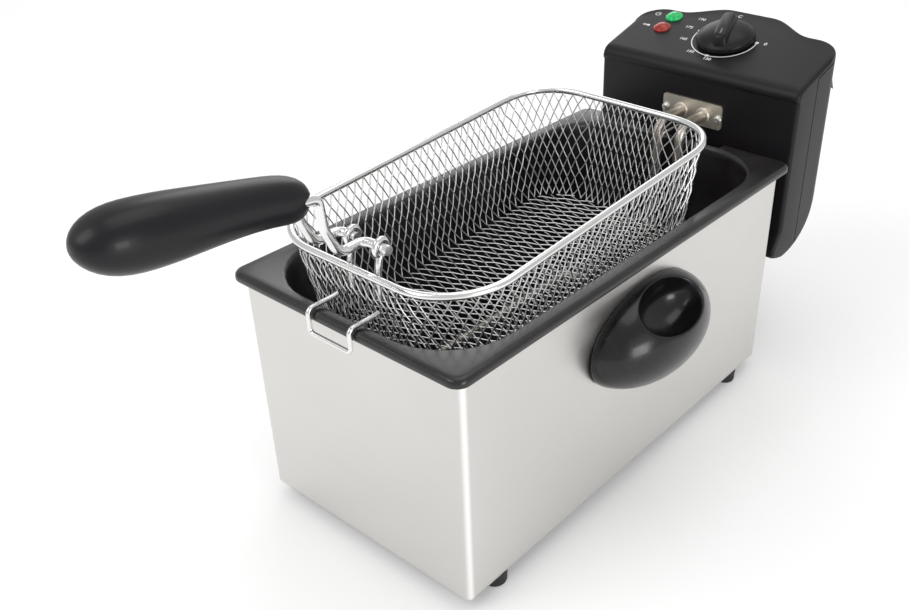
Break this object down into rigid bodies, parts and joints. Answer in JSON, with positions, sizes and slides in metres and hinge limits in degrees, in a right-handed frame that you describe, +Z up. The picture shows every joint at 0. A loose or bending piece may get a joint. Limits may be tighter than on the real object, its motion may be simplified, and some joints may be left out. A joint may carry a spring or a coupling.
{
  "type": "deep fryer",
  "caption": "Compact electric deep fryer: steel housing, enamelled pan, lift-off control head with dial, wire basket hung to drain on its front hook.",
  "frame": {"origin": "on the table, under the middle of the fryer's whole outline", "axes": "+X to the fryer's right seen from the basket handle's end, +Y from the basket handle towards the control head, +Z up"},
  "size_m": [0.2178, 0.5189, 0.2475],
  "materials": {
    "housing_shell": "satin",
    "base_plate": "satin black",
    "feet": "matt",
    "foot_screws": "zinc plated",
    "foot_nuts": "zinc plated",
    "right_carry_handle": "polished black",
    "left_carry_handle": "polished black",
    "carry_handle_screws": "zinc plated",
    "rear_guide": "zinc plated",
    "guide_rivets": "bright",
    "oil_pan": "satin enamel",
    "head_front_cover": "fine moulded grain",
    "head_rear_cover": "fine moulded grain",
    "cover_screws": "zinc plated",
    "head_hanger": "zinc plated",
    "hanger_screws": "zinc plated",
    "element_plate": "satin, heat tinted",
    "plate_screws": "bright",
    "element_collars": "satin",
    "heating_element": "heat tinted",
    "sensor_bulb": "satin",
    "sensor_clips": "satin",
    "capillary_tube": "satin copper",
    "thermostat_body": "moulded",
    "knob_shaft": "machined",
    "thermostat_knob": "satin",
    "power_lamp_lens": "clear green",
    "ready_lamp_lens": "clear red",
    "lamp_holders": "moulded",
    "thermal_cutout": "moulded",
    "reset_button": "red",
    "interlock_switch": "moulded",
    "interlock_pin": "moulded",
    "terminal_block": "moulded",
    "inner_wires": "insulation",
    "cord_gland": "matt",
    "basket_rim": "bright",
    "basket_mesh": "bright",
    "basket_hook": "bright",
    "handle_eyelets": "bright",
    "handle_fork": "bright",
    "handle_grip": "satin black"
  },
  "bodies": {
    "housing": {"housing_shell": "housing_shell", "base_plate": "base_plate", "feet": "feet", "foot_screws": "foot_screws", "foot_nuts": "foot_nuts", "right_carry_handle": "right_carry_handle", "left_carry_handle": "left_carry_handle", "carry_handle_screws": "carry_handle_screws", "rear_guide": "rear_guide", "guide_rivets": "guide_rivets"},
    "oil_pan_body": {"oil_pan": "oil_pan"},
    "control_head": {"head_front_cover": "head_front_cover", "head_rear_cover": "head_rear_cover", "cover_screws": "cover_screws", "head_hanger": "head_hanger", "hanger_screws": "hanger_screws", "element_plate": "element_plate", "plate_screws": "plate_screws", "element_collars": "element_collars", "heating_element": "heating_element", "sensor_bulb": "sensor_bulb", "sensor_clips": "sensor_clips", "capillary_tube": "capillary_tube", "thermostat_body": "thermostat_body", "power_lamp_lens": "power_lamp_lens", "ready_lamp_lens": "ready_lamp_lens", "lamp_holders": "lamp_holders", "thermal_cutout": "thermal_cutout", "interlock_switch": "interlock_switch", "terminal_block": "terminal_block", "inner_wires": "inner_wires", "cord_gland": "cord_gland"},
    "knob": {"thermostat_knob": "thermostat_knob", "knob_shaft": "knob_shaft"},
    "reset": {"reset_button": "reset_button"},
    "interlock": {"interlock_pin": "interlock_pin"},
    "basket": {"basket_rim": "basket_rim", "basket_mesh": "basket_mesh", "basket_hook": "basket_hook", "handle_eyelets": "handle_eyelets"},
    "basket_handle": {"handle_fork": "handle_fork", "handle_grip": "handle_grip"}
  },
  "joints": [
    {"name": "pan_lift", "type": "slide", "parent": "housing", "child": "oil_pan_body", "axis": [0, 0, 1], "range_m": [0, 0.14]},
    {"name": "head_lift", "type": "slide", "parent": "oil_pan_body", "child": "control_head", "axis": [0, 0, 1], "range_m": [0, 0.15]},
    {"name": "basket_lift", "type": "slide", "parent": "control_head", "child": "basket", "axis": [0, 0, 1], "range_m": [0, 0.12]},
    {"name": "handle_fold", "type": "hinge", "parent": "basket", "child": "basket_handle", "pos_m": [0, -0.1254, 0.1893], "axis": [-1, 0, 0], "range_deg": [0, 150]},
    {"name": "thermostat_turn", "type": "hinge", "parent": "control_head", "child": "knob", "pos_m": [0, 0.2136, 0.20475], "axis": [0, 0.2605, -0.9655], "range_deg": [0, 290]},
    {"name": "reset_press", "type": "slide", "parent": "control_head", "child": "reset", "axis": [0, -1, 0], "range_m": [0, 0.002], "stiffness_N_per_m": 900},
    {"name": "interlock_press", "type": "slide", "parent": "control_head", "child": "interlock", "axis": [0, 1, 0], "range_m": [0, 0.002], "stiffness_N_per_m": 600}
  ]
}
